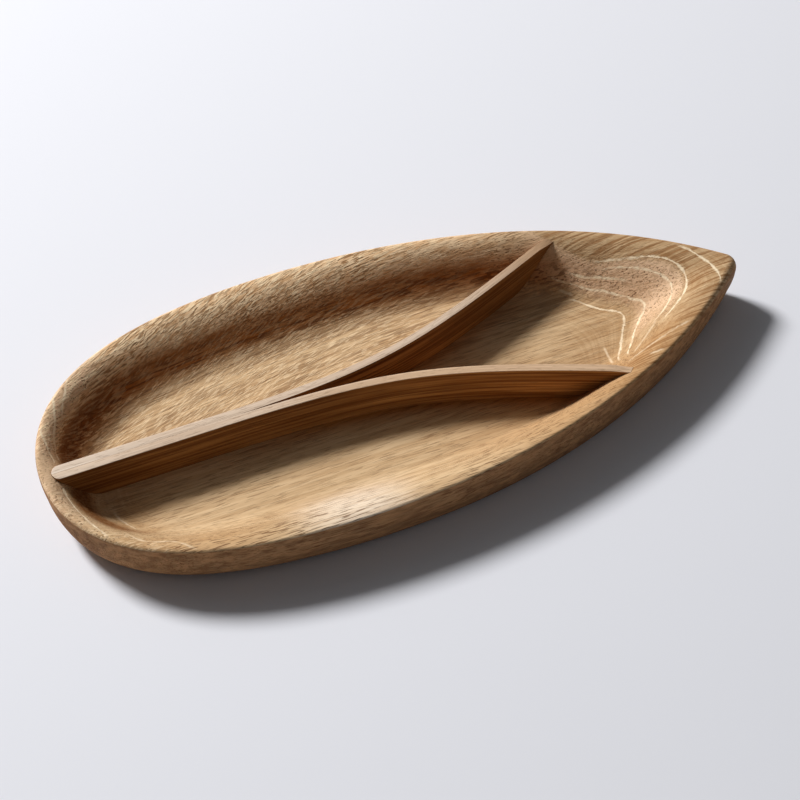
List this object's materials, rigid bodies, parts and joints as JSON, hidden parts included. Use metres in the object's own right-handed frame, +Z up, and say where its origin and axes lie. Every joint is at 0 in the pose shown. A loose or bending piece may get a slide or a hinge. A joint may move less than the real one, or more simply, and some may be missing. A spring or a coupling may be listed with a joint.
{
  "type": "desk tray",
  "caption": "Leaf-shaped wooden desk tray with a carved hollow, forked into compartments by thin bent wooden dividers.",
  "frame": {"origin": "under the middle of the tray, on the flat base that it stands on", "axes": "+X from the round stern to the pointed bow, +Y towards the back divider's side, +Z up"},
  "size_m": [0.2818, 0.1194, 0.022],
  "materials": {
    "oiled_oak": "open-pored oak, thin oil, satin",
    "pale_bent_strip": "straight-grained pale strip, planed and thinly oiled"
  },
  "bodies": {
    "root": {"carved_dish": "oiled_oak", "back_divider": "pale_bent_strip", "front_divider": "pale_bent_strip"}
  },
  "joints": []
}
